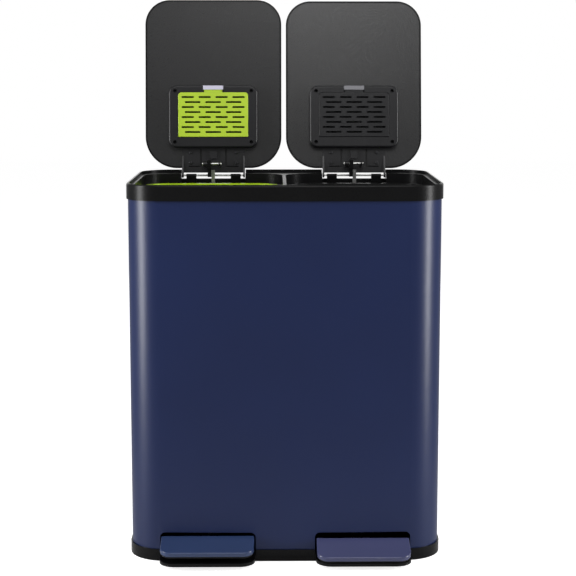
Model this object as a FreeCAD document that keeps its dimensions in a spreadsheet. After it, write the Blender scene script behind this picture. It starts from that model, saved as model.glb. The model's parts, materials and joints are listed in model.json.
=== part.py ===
import FreeCAD, Part
import math
import os
import re

import Sketcher

# Double recycling bin with two pedal-worked lids, millimetres.
# Origin: on the floor, under the middle of the body. X right, Y to the rear, Z up.
# The lids stand open and the pedals are down, as the object is photographed.

document = FreeCAD.newDocument("double_bin")
sheet = document.addObject("Spreadsheet::Sheet", "sizes")

driving_sizes = [
    # whole bin
    ("bin_width", 500), ("bin_depth", 330), ("rim_top", 600), ("corner_radius", 57),
    ("bow_radius", 5400), ("wall_reveal", 2.5), ("sheet_steel", 1),
    # rim moulding
    ("rim_height", 25), ("rim_edge_radius", 3.5), ("rim_wall", 2.2), ("channel_width", 5.6),
    ("lip_width", 5), ("front_lip", 7.5), ("lip_corner_radius", 46), ("lid_seat_depth", 5.3),
    ("deck_thickness", 2.5), ("divider_width", 5.5), ("compartment_radius", 40),
    ("bucket_seat_depth", 23), ("inner_skirt", 9),
    # hinge well and pin
    ("well_half", 56), ("notch_depth", 15.8), ("lug_near", 30), ("lug_width", 17.5),
    ("lug_radius", 2.75), ("pin_radius", 1.8), ("running_gap", 0.05), ("sill_thickness", 4.2),
    ("sill_lap", 4), ("hinge_inset", 14),
    # lids
    ("lid_parting", 8), ("lid_side_gap", 3), ("lid_edge_gap", 1.5), ("lid_gap", 0.3),
    ("lid_drop", 4.5), ("lid_frame_height", 8), ("lid_skin_height", 1), ("hinge_setback", 13),
    ("lid_front_radius", 43), ("lid_rear_radius", 55), ("lid_bearing", 2.5), ("hem_width", 2.8),
    ("panel_thickness", 2.5), ("panel_step", 3.2), ("fit_gap", 0.2), ("left_lid_angle", 97),
    ("right_lid_angle", 99), ("skin_inset", 1.5), ("skin_edge_radius", 0.7),
    ("frame_edge_radius", 1.2), ("frame_top", 2),
    # deodoriser on the inside of each lid
    ("filter_half", 77.3), ("filter_start", 35), ("filter_length", 108), ("filter_depth", 17),
    ("filter_radius", 14), ("filter_edge_radius", 3), ("cover_half", 61), ("cover_start", 53.5),
    ("cover_length", 77.5), ("cover_radius", 6), ("cover_thickness", 2.6), ("cover_gap", 0.5),
    ("cavity_inset", 3), ("filter_floor", 2), ("pad_height", 7), ("slot_height", 3.2),
    ("slot_pitch", 8.7), ("long_slot", 27.3), ("long_slot_pitch", 35.7), ("short_slot", 21.5),
    ("short_slot_pitch", 29.5), ("tab_half", 16), ("tab_length", 5.8), ("latch_half", 17.5),
    ("latch_thickness", 3.6), ("latch_hook", 3.6), ("screw_hole", 3.1),
    ("cover_pivot_radius", 1.2), ("cover_edge_radius", 0.7), ("cover_heel", 0.8),
    ("cover_play", 1), ("latch_clear", 1),
    ("pivot_reach", 1.5), ("tab_step", 1.5), ("latch_bay_depth", 10), ("latch_edge_radius", 1.6),
    ("filter_screw_x", 66.5), ("filter_screw_end", 9.5), ("filter_screw_floor", 4),
    # hinge bracket and link
    ("bracket_half", 55), ("bracket_thickness", 3.5), ("bracket_clear", 4.7),
    ("flange_thickness", 3), ("flange_radius", 4), ("link_y", 18.8), ("link_z", 21.6),
    ("link_radius", 2.5), ("arm_radius", 4.4), ("link_arm_near", 10), ("link_arm_left", 7),
    ("link_arm_right", 3), ("link_margin", 5), ("pin_overhang", 2), ("flange_reach", 34),
    ("bracket_screw_x", 40), ("bracket_screw_near", 22), ("bracket_screw_far", 40),
    ("bracket_slot_x", 34), ("bracket_slot", 20), ("groove_x", 22), ("groove_width", 3),
    ("stop_half", 6), ("stop_height", 4), ("stop_near", 29), ("stop_far", 42),
    # push rods
    ("rod_inset", 14), ("rod_half", 3), ("rod_thickness", 2), ("rod_stroke_left", 42.85),
    ("rod_stroke_right", 43.5), ("head_reach", 34), ("head_thickness", 6.4),
    ("head_wall", 3), ("link_play", 1.4), ("foot_half", 11), ("foot_lead", 13),
    ("foot_length", 20.5), ("foot_roof", 10), ("cheek_length", 28), ("cheek_inner", 8.2),
    ("roller_gap", 0.3), ("guide_bottom", 300), ("guide_height", 20), ("guide_half", 14),
    ("guide_lead", 6), ("guide_screw_x", 8.5), ("head_clearance", 1.2), ("head_tail", 7.2),
    ("rod_joint", 16), ("strip_lap", 12),
    # pedals
    ("pedal_inset", 47), ("pedal_z", 22), ("left_tilt", 9.8), ("right_tilt", 14.6),
    ("rest_tilt", 4.6), ("pedal_half", 73.5), ("pedal_reach", 93.5), ("pedal_back", 38),
    ("plate_top", 26.4), ("plate_thickness", 1.2), ("plate_skirt", 7), ("pedal_radius", 18),
    ("tread_bottom", 15), ("axle_radius", 3), ("hub_radius", 9), ("neck_half", 11),
    ("lever_thickness", 4), ("lever_short", 3), ("lever_fall", 12.2),
    ("roller_radius", 5.5), ("roller_half", 7.5), ("lever_pin_radius", 2.5), ("roller_start", 2.4),
    ("lever_rivet_radius", 2), ("rivet_y", 26),
    ("rivet_z", 9.5), ("lever_front", 46), ("lever_nose", 15), ("neck_root", 24),
    ("neck_knee", 30), ("neck_low", 5), ("plate_edge_radius", 1.6),
    # base moulding
    ("base_top", 19.5), ("base_lift", 1), ("floor_bottom", 4.5), ("floor_top", 7),
    ("tongue_half", 75), ("tongue_reach", 47), ("tongue_bottom", 8.2), ("tongue_top", 13.2),
    ("tongue_radius", 25), ("bay_half", 76), ("bay_top", 47), ("bay_radius", 8),
    ("ear_gap", 0.6), ("ear_thickness", 4), ("hem_depth", 10), ("foot_radius", 11),
    ("foot_inset", 45), ("bay_inside", 15), ("hem_screw_x", 60), ("hem_screw_y", 70),
    # side grips
    ("grip_drop", 79), ("grip_half", 52), ("grip_height", 31), ("grip_radius", 11),
    ("grip_flange", 4), ("grip_proud", 1.3), ("grip_depth", 13), ("grip_wall", 2),
    # buckets and their bails
    ("flange_side_gap", 2.5), ("flange_front_gap", 4), ("flange_rear_gap", 21.5),
    ("bucket_flange", 3),
    ("flange_overhang", 7), ("bucket_wall", 2.2), ("bucket_floor", 2.5), ("bucket_bottom", 88),
    ("bucket_taper", 6), ("bucket_radius", 40), ("seat_clearance", 1), ("bail_radius", 2),
    ("bail_ear", 4.6), ("bail_ear_width", 4), ("bail_lift", 3), ("bail_corner", 32),
    ("bail_inset", 3.2), ("bail_inset_front", 3.5), ("bucket_foot_radius", 5),
    # small roundings and steps
    ("moulding_radius", 1), ("small_radius", 0.8), ("pad_corner", 4), ("pad_edge", 1.5),
    ("groove_end", 2), ("groove_root", 10), ("groove_depth", 1.8), ("bracket_slot_y", 11),
    ("stop_radius", 1.5), ("bracket_slot_height", 1.8), ("bracket_corner", 2),
    ("body_edge_radius", 2), ("lug_root", 0.5),
    ("well_front", 3), ("neck_lift", 3), ("lever_step", 2), ("lever_end", 6), ("lever_heel", 10),
    ("lever_top", 20), ("lever_end_low", 5), ("lever_end_slope", 3), ("lever_end_high", 4.5),
    ("latch_pivot_up", 1.7), ("cover_pivot_in", 1.6), ("slot_front_step", 0.8),
    ("slot_rear_wall", 1.6), ("flange_edge_radius", 1.4), ("axle_overhang", 1),
    # screws
    ("guide_hollow_wall", 10), ("guide_screw_length", 8), ("screw_grip", 3),
    ("screw_head", 2.8), ("screw_head_height", 2), ("screw_shank", 1.45),
    ("screw_bore", 1.6),
]
for row, (alias, value) in enumerate(driving_sizes, start=1):
    sheet.set(f"A{row}", alias)
    sheet.set(f"B{row}", str(value))
    sheet.setAlias(f"B{row}", alias)
document.recompute()
driving_names = {alias for alias, value in driving_sizes}

# Places and sizes that follow from the driving ones.
worked = {
    "half_width": "bin_width / 2",
    "half_depth": "bin_depth / 2",
    "rim_bottom": "rim_top - rim_height",
    "bay_centre": "(half_width - lip_width - lid_side_gap + lid_parting / 2) / 2",
    "lid_half": "bay_centre - lid_parting / 2",
    "grip_z": "rim_bottom - grip_drop",
    "channel_outer": "rim_wall",
    "channel_inner": "rim_wall + channel_width",
    "skirt_inner": "channel_inner + rim_wall",
    "lid_seat": "rim_top - lid_seat_depth",
    "channel_top": "lid_seat - deck_thickness",
    "bucket_seat": "rim_top - bucket_seat_depth",
    "seat_bottom": "bucket_seat - rim_wall",
    "skirt_bottom": "rim_bottom - inner_skirt",
    "lid_front": "front_lip + lid_edge_gap - half_depth",
    "hinge_y": "half_depth - hinge_inset",
    "lid_rear": "hinge_y - hinge_setback",
    "lid_length": "lid_rear - lid_front",
    "hinge_z": "lid_seat + lid_gap - lid_drop",
    "compartment_outer": "bay_centre + lid_half - lid_bearing",
    "compartment_front": "lid_front + lid_bearing",
    "compartment_rear": "lid_rear - lid_bearing",
    "well_rear": "half_depth - skirt_inner",
    "notch_floor": "rim_top - notch_depth",
    "casing_bottom": "floor_top",
    "notch_bottom": "notch_floor - sill_thickness",
    "lid_top": "lid_drop + lid_frame_height",
    "lid_far": "hinge_setback + lid_length",
    "filter_near": "hinge_setback + filter_start",
    "filter_far": "filter_near + filter_length",
    "filter_face": "lid_drop - filter_depth",
    "cover_near": "hinge_setback + cover_start",
    "cover_far": "cover_near + cover_length",
    "cavity_far": "cover_far - cavity_inset",
    "cover_pivot_y": "cover_near + cover_pivot_in",
    "cover_pivot_z": "filter_face + cover_thickness / 2",
    "latch_pivot_y": "filter_far - latch_thickness / 2",
    "latch_pivot_z": "filter_face + latch_bay_depth - latch_clear - latch_pivot_up",
    "bracket_face": "lid_drop - bracket_thickness",
    "flange_half": "lid_half - lid_bearing - flange_side_gap",
    "flange_front": "-compartment_front - flange_front_gap",
    "flange_rear": "compartment_rear - flange_rear_gap",
    "mouth_half": "flange_half - flange_overhang",
    "mouth_front": "-flange_front + flange_overhang",
    "mouth_rear": "flange_rear - flange_overhang",
    "bucket_top": "bucket_seat + bucket_flange",
    "bail_y": "(flange_rear - flange_front) / 2",
    "bail_z": "bucket_top + bail_lift",
    "rod_y": "hinge_y - rod_inset",
    "head_front": "hinge_y - head_reach",
    "foot_front": "rod_y - foot_lead",
    "guide_front": "rod_y - guide_lead",
    "pedal_y": "half_depth - pedal_inset",
    "lever_length": "rod_y + pedal_y - lever_short",
    "foot_x": "half_width - foot_inset",
    "foot_y": "half_depth - foot_inset",
    "lever_pin_z": "pedal_z + lever_length * sin(rest_tilt) - lever_fall * cos(rest_tilt)",
    "roof_z": "lever_pin_z + roller_radius + roller_gap",
    "foot_top": "roof_z + foot_roof",
    "slot_z": "hinge_z - link_z",
    "slot_half": "link_radius + link_play",
    "slot_front": "head_front + head_wall - slot_front_step",
    "strip_bottom": "roof_z + foot_roof / 2",
    "head_half": "slot_half + head_wall",
    "hub_low": "moulding_radius - hub_radius",
    "neck_top": "plate_top - plate_thickness - moulding_radius",
    "lever_low": "lever_step - hub_radius",
    "lever_back": "lever_length + lever_end",
}


def full(text):
    """The expression with every worked name written out and every driving name tied to its cell."""
    def swap(match):
        word = match.group(0)
        if word in worked:
            return "(" + full(worked[word]) + ")"
        return "sizes." + word if word in driving_names else word
    return re.sub(r"[A-Za-z_][A-Za-z_0-9]*", swap, str(text))


def size(text):
    return float(sheet.evalExpression(full(text)))


def vector(x, y, z=0):
    return FreeCAD.Vector(x, y, z)


sub_parts = []
bite = 1        # how far the foot of a feature reaches into what it grows from
slot_rows = 8   # rows of louvres in a deodoriser's cover
beyond = 5      # how far beyond the material a cut starts or ends
through = 20    # longer than any wall that a hole goes through


def start_body(label):
    body = document.addObject("PartDesign::Body", label)
    body.Label = label
    sub_parts.append(body)
    return body


def sketch_on(body, plane="XY_Plane", at="0"):
    """An empty sketch on one of the body's own planes; the XZ plane faces -Y."""
    sketch = body.newObject("Sketcher::SketchObject", body.Label + "_sketch")
    origin_plane = next(item for item in body.Origin.OriginFeatures if item.Role == plane)
    sketch.AttachmentSupport = (origin_plane, [""])
    sketch.MapMode = "FlatFace"
    along = f"-({at})" if plane == "XZ_Plane" else at
    sketch.setExpression("AttachmentOffset.Base.z", full(along))
    return sketch


def hold(sketch, kind, *where, to):
    number = sketch.addConstraint(Sketcher.Constraint(kind, *where, size(to)))
    sketch.setExpression(f"Constraints[{number}]", full(to))


def chain(sketch, first, count, kind):
    for step in range(count):
        following = first + (step + 1) % count
        sketch.addConstraint(Sketcher.Constraint(kind, first + step, 2, following, 1))


def straight(start, end):
    return Part.LineSegment(vector(*start), vector(*end))


def bend(centre, radius, start, end):
    circle = Part.Circle(vector(*centre), vector(0, 0, 1), radius)
    return Part.ArcOfCircle(circle, math.radians(start), math.radians(end))


def rounded(sketch, x0, x1, y0, y1, radius, far_radius=None):
    """A rectangle with rounded corners; far_radius is for the two corners at y1."""
    left, right, low, high = (size(text) for text in (x0, x1, y0, y1))
    near = size(radius)
    far = size(far_radius or radius)
    first = sketch.GeometryCount
    for geometry in (
        straight((left + near, low), (right - near, low)),
        bend((right - near, low + near), near, -90, 0),
        straight((right, low + near), (right, high - far)),
        bend((right - far, high - far), far, 0, 90),
        straight((right - far, high), (left + far, high)),
        bend((left + far, high - far), far, 90, 180),
        straight((left, high - far), (left, low + near)),
        bend((left + near, low + near), near, 180, 270),
    ):
        sketch.addGeometry(geometry)
    chain(sketch, first, 8, "Tangent")
    for side, kind in ((0, "Horizontal"), (2, "Vertical"), (4, "Horizontal"), (6, "Vertical")):
        sketch.addConstraint(Sketcher.Constraint(kind, first + side))
    sketch.addConstraint(Sketcher.Constraint("Equal", first + 1, first + 7))
    sketch.addConstraint(Sketcher.Constraint("Equal", first + 3, first + 5))
    hold(sketch, "Radius", first + 1, to=radius)
    hold(sketch, "Radius", first + 3, to=far_radius or radius)
    hold(sketch, "DistanceX", -1, 1, first + 2, 1, to=x1)
    hold(sketch, "DistanceX", -1, 1, first + 6, 1, to=x0)
    hold(sketch, "DistanceY", -1, 1, first, 1, to=y0)
    hold(sketch, "DistanceY", -1, 1, first + 4, 1, to=y1)


def polygon(sketch, corners):
    places = [(size(x), size(y)) for x, y in corners]
    first = sketch.GeometryCount
    for number, place in enumerate(places):
        sketch.addGeometry(straight(place, places[(number + 1) % len(places)]))
    chain(sketch, first, len(places), "Coincident")
    for number, (x, y) in enumerate(corners):
        hold(sketch, "DistanceX", -1, 1, first + number, 1, to=x)
        hold(sketch, "DistanceY", -1, 1, first + number, 1, to=y)


def rectangle(sketch, x0, x1, y0, y1):
    polygon(sketch, ((x0, y0), (x1, y0), (x1, y1), (x0, y1)))


def circle(sketch, x, y, radius):
    number = sketch.GeometryCount
    sketch.addGeometry(Part.Circle(vector(size(x), size(y)), vector(0, 0, 1), size(radius)))
    hold(sketch, "Radius", number, to=radius)
    hold(sketch, "DistanceX", -1, 1, number, 3, to=x)
    hold(sketch, "DistanceY", -1, 1, number, 3, to=y)


def arch(sketch, x, y, radius, foot):
    """An upright tab: a half circle about (x, y) with straight sides down to the height foot."""
    across, up, round_by, low = (size(text) for text in (x, y, radius, foot))
    first = sketch.GeometryCount
    for geometry in (
        straight((across - round_by, low), (across + round_by, low)),
        straight((across + round_by, low), (across + round_by, up)),
        bend((across, up), round_by, 0, 180),
        straight((across - round_by, up), (across - round_by, low)),
    ):
        sketch.addGeometry(geometry)
    sketch.addConstraint(Sketcher.Constraint("Coincident", first, 2, first + 1, 1))
    sketch.addConstraint(Sketcher.Constraint("Tangent", first + 1, 2, first + 2, 1))
    sketch.addConstraint(Sketcher.Constraint("Tangent", first + 2, 2, first + 3, 1))
    sketch.addConstraint(Sketcher.Constraint("Coincident", first + 3, 2, first, 1))
    for side, kind in ((0, "Horizontal"), (1, "Vertical"), (3, "Vertical")):
        sketch.addConstraint(Sketcher.Constraint(kind, first + side))
    hold(sketch, "Radius", first + 2, to=radius)
    hold(sketch, "DistanceX", -1, 1, first + 2, 3, to=x)
    hold(sketch, "DistanceY", -1, 1, first + 2, 3, to=y)
    hold(sketch, "DistanceY", -1, 1, first, 1, to=foot)


def slot(sketch, x0, x1, y, height):
    """A slot along X with half-round ends."""
    left, right, middle, half = (size(text) for text in (x0, x1, y, f"({height}) / 2"))
    first = sketch.GeometryCount
    for geometry in (
        straight((left + half, middle - half), (right - half, middle - half)),
        bend((right - half, middle), half, -90, 90),
        straight((right - half, middle + half), (left + half, middle + half)),
        bend((left + half, middle), half, 90, 270),
    ):
        sketch.addGeometry(geometry)
    chain(sketch, first, 4, "Tangent")
    sketch.addConstraint(Sketcher.Constraint("Horizontal", first))
    sketch.addConstraint(Sketcher.Constraint("Horizontal", first + 2))
    hold(sketch, "Radius", first + 1, to=f"({height}) / 2")
    hold(sketch, "DistanceX", -1, 1, first + 1, 3, to=f"({x1}) - ({height}) / 2")
    hold(sketch, "DistanceX", -1, 1, first + 3, 3, to=f"({x0}) + ({height}) / 2")
    hold(sketch, "DistanceY", -1, 1, first + 1, 3, to=y)


def footprint(sketch, inset="0"):
    """The bin's outline seen from above, drawn in by inset: round corners and a bowed front."""
    half = size(f"half_width - ({inset})")
    corner = size(f"corner_radius - ({inset})")
    bow = size(f"bow_radius - ({inset})")
    rear = size(f"half_depth - ({inset})")
    bow_y = size("bow_radius - half_depth")
    across = half - corner
    front = bow_y - math.sqrt((bow - corner) ** 2 - across ** 2)
    lean = math.degrees(math.atan2(front - bow_y, across))
    first = sketch.GeometryCount
    for geometry in (
        bend((0, bow_y), bow, -180 - lean, lean),
        bend((across, front), corner, lean, 0),
        straight((half, front), (half, rear - corner)),
        bend((across, rear - corner), corner, 0, 90),
        straight((across, rear), (-across, rear)),
        bend((-across, rear - corner), corner, 90, 180),
        straight((-half, rear - corner), (-half, front)),
        bend((-across, front), corner, 180, 180 - lean),
    ):
        sketch.addGeometry(geometry)
    chain(sketch, first, 8, "Tangent")
    for side, kind in ((2, "Vertical"), (4, "Horizontal"), (6, "Vertical")):
        sketch.addConstraint(Sketcher.Constraint(kind, first + side))
    for other in (3, 5, 7):
        sketch.addConstraint(Sketcher.Constraint("Equal", first + 1, first + other))
    sketch.addConstraint(Sketcher.Constraint("PointOnObject", first, 3, -2))
    hold(sketch, "Radius", first, to=f"bow_radius - ({inset})")
    hold(sketch, "Radius", first + 1, to=f"corner_radius - ({inset})")
    hold(sketch, "DistanceY", -1, 1, first, 3, to="bow_radius - half_depth")
    hold(sketch, "DistanceY", -1, 1, first + 4, 1, to=f"half_depth - ({inset})")
    hold(sketch, "DistanceX", -1, 1, first + 2, 1, to=f"half_width - ({inset})")
    hold(sketch, "DistanceX", -1, 1, first + 6, 1, to=f"({inset}) - half_width")


def grown(body):
    document.recompute()
    return body.Shape.Volume


def pad(body, sketch, length, reverse=False):
    """Adds the sketch's area times length, along the plane's normal."""
    before = body.Shape.Volume if body.Tip else 0
    feature = body.newObject("PartDesign::Pad", body.Label + "_pad")
    feature.Profile = sketch
    feature.Reversed = reverse
    feature.setExpression("Length", full(length))
    if grown(body) <= before:
        raise ValueError(f"a pad of {body.Label} adds nothing")
    return feature


def pocket(body, sketch, length, reverse=False):
    """Cuts the sketch's area by length, against the plane's normal."""
    before = body.Shape.Volume
    feature = body.newObject("PartDesign::Pocket", body.Label + "_pocket")
    feature.Profile = sketch
    feature.Reversed = reverse
    feature.setExpression("Length", full(length))
    if grown(body) >= before:
        raise ValueError(f"a pocket of {body.Label} cuts nothing")
    return feature


def soften(body, radius, chosen):
    """Rounds the edges of the body that the test picks."""
    base = body.Tip
    names = [
        f"Edge{number}"
        for number, edge in enumerate(base.Shape.Edges, start=1)
        if chosen(edge)
    ]
    feature = body.newObject("PartDesign::Fillet", body.Label + "_fillet")
    feature.Base = (base, names)
    feature.setExpression("Radius", full(radius))
    document.recompute()


def lies_at(axis, text):
    """A test for edges that lie wholly in the plane where that coordinate has that value."""
    place = size(text)

    def test(edge):
        box = edge.BoundBox
        low = getattr(box, axis + "Min")
        high = getattr(box, axis + "Max")
        return abs(low - place) < 0.01 and abs(high - place) < 0.01
    return test


def set_of_solids(label, shapes):
    """A sub-part made of identical separate solids."""
    feature = document.addObject("Part::Feature", label)
    feature.Label = label
    feature.Shape = Part.makeCompound(shapes)
    sub_parts.append(feature)
    return feature


def screw(place, direction, length):
    """A pan-head screw whose head's seat is at place, with its shank along direction."""
    aim = vector(*direction)
    seat = vector(*place)
    head_height = size("screw_head_height")
    head = Part.makeCylinder(size("screw_head"), head_height, seat - aim * head_height, aim)
    dome = [edge for edge in head.Edges if (edge.CenterOfMass - seat).dot(aim) < -head_height * 0.9]
    head = head.makeFillet(head_height * 0.4, dome)
    shank = Part.makeCylinder(size("screw_shank"), length, seat, aim)
    return head.fuse(shank)


sides = (("left", -1), ("right", 1))


def bay(sign, offset="0"):
    """The X of a place in one of the two bays, from its offset off the bay's middle."""
    return f"{sign} * bay_centre + ({offset})"


def make_casing():
    casing = start_body("casing")
    walls = sketch_on(casing, at="casing_bottom")
    footprint(walls, "wall_reveal")
    footprint(walls, "wall_reveal + sheet_steel")
    pad(casing, walls, "channel_top - casing_bottom")
    hem = sketch_on(casing, at="casing_bottom")
    footprint(hem, "wall_reveal")
    footprint(hem, "wall_reveal + sheet_steel + hem_depth")
    pad(casing, hem, "sheet_steel")
    for name, sign in sides:
        bay_cut = sketch_on(casing, "XZ_Plane", at=f"-half_depth - {beyond}")
        rounded(bay_cut, bay(sign, "-bay_half"), bay(sign, "bay_half"), "-bay_radius * 2", "bay_top",
                "bay_radius")
        pocket(casing, bay_cut, f"{through}")
        notch = sketch_on(casing, at=f"channel_top + {beyond}")
        rectangle(notch, bay(sign, "-well_half - sill_lap"), bay(sign, "well_half + sill_lap"),
                  f"half_depth - 2 * {beyond}", f"half_depth + {beyond}")
        pocket(casing, notch, f"channel_top + {beyond} - notch_bottom")
        grip = sketch_on(casing, "YZ_Plane", at=f"{sign} * (half_width + {beyond})")
        rounded(grip, "-grip_half - fit_gap", "grip_half + fit_gap",
                "grip_z - grip_height / 2 - fit_gap", "grip_z + grip_height / 2 + fit_gap",
                "grip_radius + fit_gap")
        pocket(casing, grip, f"{through}", reverse=sign < 0)
        holes = sketch_on(casing, "XZ_Plane", at=f"half_depth + {beyond}")
        for way in (-1, 1):
            circle(holes, bay(sign, f"{way} * guide_screw_x"), "guide_bottom + guide_height / 2",
                   "screw_bore")
        pocket(casing, holes, f"{through}", reverse=True)
    floor_holes = sketch_on(casing, at=f"casing_bottom + {beyond}")
    for x, y in base_screw_places():
        circle(floor_holes, x, y, "screw_bore")
    pocket(casing, floor_holes, f"{through}")


def base_screw_places():
    """Where screws hold the casing's turned-in hem to the base."""
    side_x = "half_width - wall_reveal - hem_depth / 2 - sheet_steel"
    rear_y = "half_depth - wall_reveal - hem_depth / 2 - sheet_steel"
    return (
        [(f"{sign} * ({side_x})", f"{way} * hem_screw_y") for name, sign in sides for way in (-1, 1)]
        + [(f"{sign} * hem_screw_x", rear_y) for name, sign in sides]
    )


def make_rim():
    rim = start_body("top_rim")
    band = sketch_on(rim, at="rim_bottom")
    footprint(band)
    pad(rim, band, "rim_height")
    soften(rim, "rim_edge_radius", lies_at("Z", "rim_top"))
    skirt = sketch_on(rim, at="skirt_bottom")
    footprint(skirt, "channel_inner")
    pad(rim, skirt, f"inner_skirt + {bite}")
    channel = sketch_on(rim, at="skirt_bottom")
    footprint(channel, "channel_outer")
    footprint(channel, "channel_inner")
    pocket(rim, channel, "channel_top - skirt_bottom", reverse=True)
    under = sketch_on(rim, at="skirt_bottom")
    footprint(under, "skirt_inner")
    pocket(rim, under, "seat_bottom - skirt_bottom", reverse=True)
    recess = sketch_on(rim, at="rim_top")
    rounded(recess, "lip_width - half_width", "half_width - lip_width", "front_lip - half_depth",
            "half_depth - lip_width", "lip_corner_radius")
    pocket(rim, recess, "lid_seat_depth")
    compartments = sketch_on(rim, at="rim_top")
    mouths = sketch_on(rim, at="rim_top")
    for name, sign in sides:
        inner, outer = sorted((f"{sign} * divider_width / 2", f"{sign} * compartment_outer"), key=size)
        rounded(compartments, inner, outer, "compartment_front", "compartment_rear",
                "compartment_radius")
        rounded(mouths, bay(sign, "-mouth_half - seat_clearance"),
                bay(sign, "mouth_half + seat_clearance"), "mouth_front - seat_clearance",
                "mouth_rear + seat_clearance", "bucket_radius - flange_overhang + seat_clearance")
    pocket(rim, compartments, "bucket_seat_depth")
    pocket(rim, mouths, f"bucket_seat_depth + rim_wall + {beyond}")
    hollows = sketch_on(rim, at="skirt_bottom")
    well_edge = "bay_centre + well_half + rim_wall"
    side_edge = "half_width - skirt_inner - compartment_radius / 2"
    rectangle(hollows, f"-({side_edge})", f"-({well_edge})", "compartment_rear + rim_wall", "well_rear")
    rectangle(hollows, well_edge, side_edge, "compartment_rear + rim_wall", "well_rear")
    rectangle(hollows, "well_half + rim_wall - bay_centre", "bay_centre - well_half - rim_wall",
              "compartment_rear + rim_wall", "well_rear")
    pocket(rim, hollows, "channel_top - skirt_bottom", reverse=True)
    for name, sign in sides:
        well = sketch_on(rim, at="rim_top")
        rectangle(well, bay(sign, "-well_half"), bay(sign, "well_half"), "mouth_rear + well_front",
                  "well_rear")
        pocket(rim, well, "bucket_seat_depth")
        sill = sketch_on(rim, at="notch_bottom")
        rectangle(sill, bay(sign, "-well_half - sill_lap / 2"), bay(sign, "well_half + sill_lap / 2"),
                  f"well_rear + {bite}", "half_depth - rim_wall / 2")
        pad(rim, sill, "sill_thickness")
        notch = sketch_on(rim, at="rim_top")
        rectangle(notch, bay(sign, "-well_half"), bay(sign, "well_half"), f"well_rear - {beyond}",
                  f"half_depth + {beyond}")
        pocket(rim, notch, "notch_depth")
        link_hole = sketch_on(rim, at=f"bucket_seat + {beyond}")
        rectangle(link_hole, bay(sign, "-link_arm_near - link_arm_left - link_margin"),
                  bay(sign, "link_arm_near + link_arm_right + link_margin"),
                  "head_front - head_clearance", "well_rear")
        pocket(rim, link_hole, f"{through}")
        for start in ("lug_near", "-lug_near - lug_width"):
            lug = sketch_on(rim, "YZ_Plane", at=bay(sign, start))
            arch(lug, "hinge_y", "hinge_z", "lug_radius", "bucket_seat - lug_root")
            circle(lug, "hinge_y", "hinge_z", "pin_radius + running_gap")
            pad(rim, lug, "lug_width")


def make_base():
    base = start_body("base")
    tray = sketch_on(base, at="base_lift")
    footprint(tray)
    pad(base, tray, "base_top - base_lift")
    inside = sketch_on(base, at="base_top")
    footprint(inside, "rim_wall")
    pocket(base, inside, "base_top - floor_top")
    underside = sketch_on(base, at="base_lift")
    footprint(underside, "rim_wall")
    pocket(base, underside, "floor_bottom - base_lift", reverse=True)
    for name, sign in sides:
        tongue = sketch_on(base, at="tongue_bottom")
        rounded(tongue, bay(sign, "-tongue_half"), bay(sign, "tongue_half"),
                "-half_depth - tongue_reach", "bay_inside - half_depth", "tongue_radius", "body_edge_radius")
        pad(base, tongue, "tongue_top - tongue_bottom")
        foot = sketch_on(base, at=f"floor_top - {bite}")
        rectangle(foot, bay(sign, "-tongue_half"), bay(sign, "tongue_half"),
                  "rim_wall / 2 - half_depth", f"bay_inside - half_depth - {bite}")
        pad(base, foot, f"tongue_top - floor_top + {bite}")
        doorway = sketch_on(base, at="tongue_top")
        rectangle(doorway, bay(sign, "-bay_half"), bay(sign, "bay_half"), f"-half_depth - {beyond}",
                  f"bay_inside - half_depth + {bite}")
        pocket(base, doorway, "base_top", reverse=True)
        for start in ("neck_half + ear_gap", "-neck_half - ear_gap - ear_thickness"):
            ear = sketch_on(base, "YZ_Plane", at=bay(sign, start))
            arch(ear, "-pedal_y", "pedal_z", "hub_radius", f"floor_top - {bite}")
            circle(ear, "-pedal_y", "pedal_z", "axle_radius + running_gap")
            pad(base, ear, "ear_thickness")
    holes = sketch_on(base, at=f"floor_top + {beyond}")
    for x, y in base_screw_places():
        circle(holes, x, y, "screw_bore")
    pocket(base, holes, f"{through}")


def make_base_trim():
    shank = size("casing_bottom + sheet_steel + screw_grip - floor_bottom")
    set_of_solids("base_screws", [
        screw((size(x), size(y), size("floor_bottom")), (0, 0, 1), shank)
        for x, y in base_screw_places()
    ])
    radius = size("foot_radius")
    height = size("floor_bottom")
    feet = []
    for x, y in ((-1, -1), (1, -1), (1, 1), (-1, 1)):
        foot = Part.makeCylinder(radius, height, vector(x * size("foot_x"), y * size("foot_y")))
        tread = [edge for edge in foot.Edges if edge.BoundBox.ZMax < 0.01]
        feet.append(foot.makeFillet(size("base_lift") / 2, tread))
    set_of_solids("base_feet", feet)


def make_grip(name, sign):
    """A recessed hand grip: a flange on the casing and a cup that reaches inside."""
    grip = start_body(f"{name}_side_grip")
    outside = sketch_on(grip, "YZ_Plane", at=f"{sign} * (half_width - wall_reveal)")
    rounded(outside, "-grip_half - grip_flange", "grip_half + grip_flange",
            "grip_z - grip_height / 2 - grip_flange", "grip_z + grip_height / 2 + grip_flange",
            "grip_radius + grip_flange")
    pad(grip, outside, "grip_proud", reverse=sign < 0)
    soften(grip, "grip_proud / 2", lies_at("X", f"{sign} * (half_width - wall_reveal + grip_proud)"))
    cup = sketch_on(grip, "YZ_Plane", at=f"{sign} * (half_width - wall_reveal)")
    rounded(cup, "-grip_half", "grip_half", "grip_z - grip_height / 2", "grip_z + grip_height / 2",
            "grip_radius")
    pad(grip, cup, "grip_depth", reverse=sign > 0)
    hollow = sketch_on(grip, "YZ_Plane", at=f"{sign} * (half_width - wall_reveal + grip_proud)")
    rounded(hollow, "grip_wall - grip_half", "grip_half - grip_wall",
            "grip_z - grip_height / 2 + grip_wall", "grip_z + grip_height / 2 - grip_wall",
            "grip_radius - grip_wall")
    pocket(grip, hollow, "grip_depth + grip_proud - grip_wall", reverse=sign < 0)


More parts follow.
